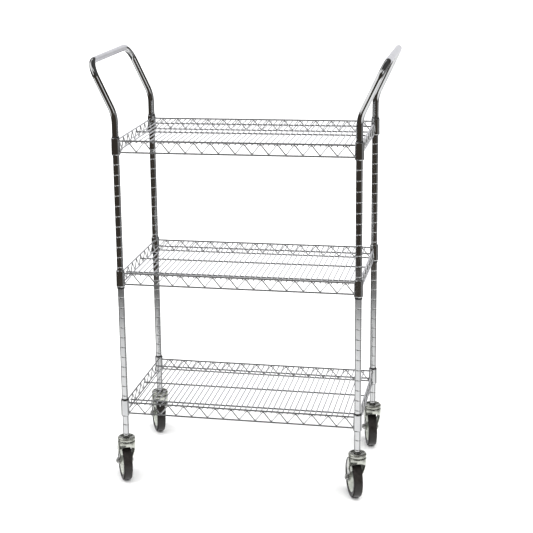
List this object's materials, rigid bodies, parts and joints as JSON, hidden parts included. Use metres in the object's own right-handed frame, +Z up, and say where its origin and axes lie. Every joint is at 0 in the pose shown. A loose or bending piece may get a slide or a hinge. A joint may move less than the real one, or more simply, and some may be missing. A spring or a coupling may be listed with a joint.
{
  "type": "wire shelf trolley",
  "caption": "Chrome wire-shelf trolley with ring-grooved tube posts, looped side handles, lift-off shelves and swivel casters.",
  "frame": {"origin": "on the floor, under the middle of the four posts", "axes": "+X from the left handle to the right handle, +Y from the front rim to the back rim, +Z up"},
  "size_m": [0.7116, 0.4383, 1.072],
  "materials": {
    "chrome_tube": "bright chrome plate, polished",
    "chrome_wire": "bright chrome plate on drawn wire",
    "zinc_plate": "bright zinc plate, slightly yellow-green",
    "plated_steel": "plated, satin",
    "sleeve_plastic": "moulded, satin black",
    "hub_plastic": "moulded, light grey",
    "tyre_rubber": "smooth, dark"
  },
  "bodies": {
    "frame": {"left_handle_post": "chrome_tube", "right_handle_post": "chrome_tube", "post_sockets": "plated_steel", "post_sleeves": "sleeve_plastic", "front_left_stem": "plated_steel", "front_left_race_cap": "zinc_plate", "front_right_stem": "plated_steel", "front_right_race_cap": "zinc_plate", "rear_left_stem": "plated_steel", "rear_left_race_cap": "zinc_plate", "rear_right_stem": "plated_steel", "rear_right_race_cap": "zinc_plate"},
    "top_shelf": {"top_shelf_front_truss": "chrome_wire", "top_shelf_back_truss": "chrome_wire", "top_shelf_left_truss": "chrome_wire", "top_shelf_right_truss": "chrome_wire", "top_shelf_wire_mat": "chrome_wire", "top_shelf_collars": "chrome_tube"},
    "middle_shelf": {"middle_shelf_front_truss": "chrome_wire", "middle_shelf_back_truss": "chrome_wire", "middle_shelf_left_truss": "chrome_wire", "middle_shelf_right_truss": "chrome_wire", "middle_shelf_wire_mat": "chrome_wire", "middle_shelf_collars": "chrome_tube"},
    "bottom_shelf": {"bottom_shelf_front_truss": "chrome_wire", "bottom_shelf_back_truss": "chrome_wire", "bottom_shelf_left_truss": "chrome_wire", "bottom_shelf_right_truss": "chrome_wire", "bottom_shelf_wire_mat": "chrome_wire", "bottom_shelf_collars": "chrome_tube"},
    "front_left_swivel": {"front_left_balls": "plated_steel", "front_left_fork": "zinc_plate", "front_left_axle_bolt": "plated_steel", "front_left_axle_nut": "plated_steel", "front_left_axle_sleeve": "plated_steel"},
    "front_left_wheel": {"front_left_hub": "hub_plastic", "front_left_tyre": "tyre_rubber"},
    "front_right_swivel": {"front_right_balls": "plated_steel", "front_right_fork": "zinc_plate", "front_right_axle_bolt": "plated_steel", "front_right_axle_nut": "plated_steel", "front_right_axle_sleeve": "plated_steel"},
    "front_right_wheel": {"front_right_hub": "hub_plastic", "front_right_tyre": "tyre_rubber"},
    "rear_left_swivel": {"rear_left_balls": "plated_steel", "rear_left_fork": "zinc_plate", "rear_left_axle_bolt": "plated_steel", "rear_left_axle_nut": "plated_steel", "rear_left_axle_sleeve": "plated_steel"},
    "rear_left_wheel": {"rear_left_hub": "hub_plastic", "rear_left_tyre": "tyre_rubber"},
    "rear_right_swivel": {"rear_right_balls": "plated_steel", "rear_right_fork": "zinc_plate", "rear_right_axle_bolt": "plated_steel", "rear_right_axle_nut": "plated_steel", "rear_right_axle_sleeve": "plated_steel"},
    "rear_right_wheel": {"rear_right_hub": "hub_plastic", "rear_right_tyre": "tyre_rubber"}
  },
  "joints": [
    {"name": "top_shelf_lift", "type": "slide", "parent": "frame", "child": "top_shelf", "axis": [0, 0, 1], "range_m": [0, 0.03]},
    {"name": "middle_shelf_lift", "type": "slide", "parent": "frame", "child": "middle_shelf", "axis": [0, 0, 1], "range_m": [0, 0.28]},
    {"name": "bottom_shelf_lift", "type": "slide", "parent": "frame", "child": "bottom_shelf", "axis": [0, 0, 1], "range_m": [0, 0.28]},
    {"name": "front_left_swivel_turn", "type": "hinge", "parent": "frame", "child": "front_left_swivel", "pos_m": [-0.2895, -0.1675, 0.1165], "axis": [0, 0, 1], "continuous": true},
    {"name": "front_left_wheel_spin", "type": "hinge", "parent": "front_left_swivel", "child": "front_left_wheel", "pos_m": [-0.30353, -0.13874, 0.05], "axis": [0.8988, 0.4384, 0], "continuous": true},
    {"name": "front_right_swivel_turn", "type": "hinge", "parent": "frame", "child": "front_right_swivel", "pos_m": [0.2895, -0.1675, 0.1165], "axis": [0, 0, 1], "continuous": true},
    {"name": "front_right_wheel_spin", "type": "hinge", "parent": "front_right_swivel", "child": "front_right_wheel", "pos_m": [0.27855, -0.13743, 0.05], "axis": [0.9397, 0.342, 0], "continuous": true},
    {"name": "rear_left_swivel_turn", "type": "hinge", "parent": "frame", "child": "rear_left_swivel", "pos_m": [-0.2895, 0.1675, 0.1165], "axis": [0, 0, 1], "continuous": true},
    {"name": "rear_left_wheel_spin", "type": "hinge", "parent": "rear_left_swivel", "child": "rear_left_wheel", "pos_m": [-0.30302, 0.1965, 0.05], "axis": [0.9063, 0.4226, 0], "continuous": true},
    {"name": "rear_right_swivel_turn", "type": "hinge", "parent": "frame", "child": "rear_right_swivel", "pos_m": [0.2895, 0.1675, 0.1165], "axis": [0, 0, 1], "continuous": true},
    {"name": "rear_right_wheel_spin", "type": "hinge", "parent": "rear_right_swivel", "child": "rear_right_wheel", "pos_m": [0.28176, 0.19855, 0.05], "axis": [0.9703, 0.2419, 0], "continuous": true}
  ]
}
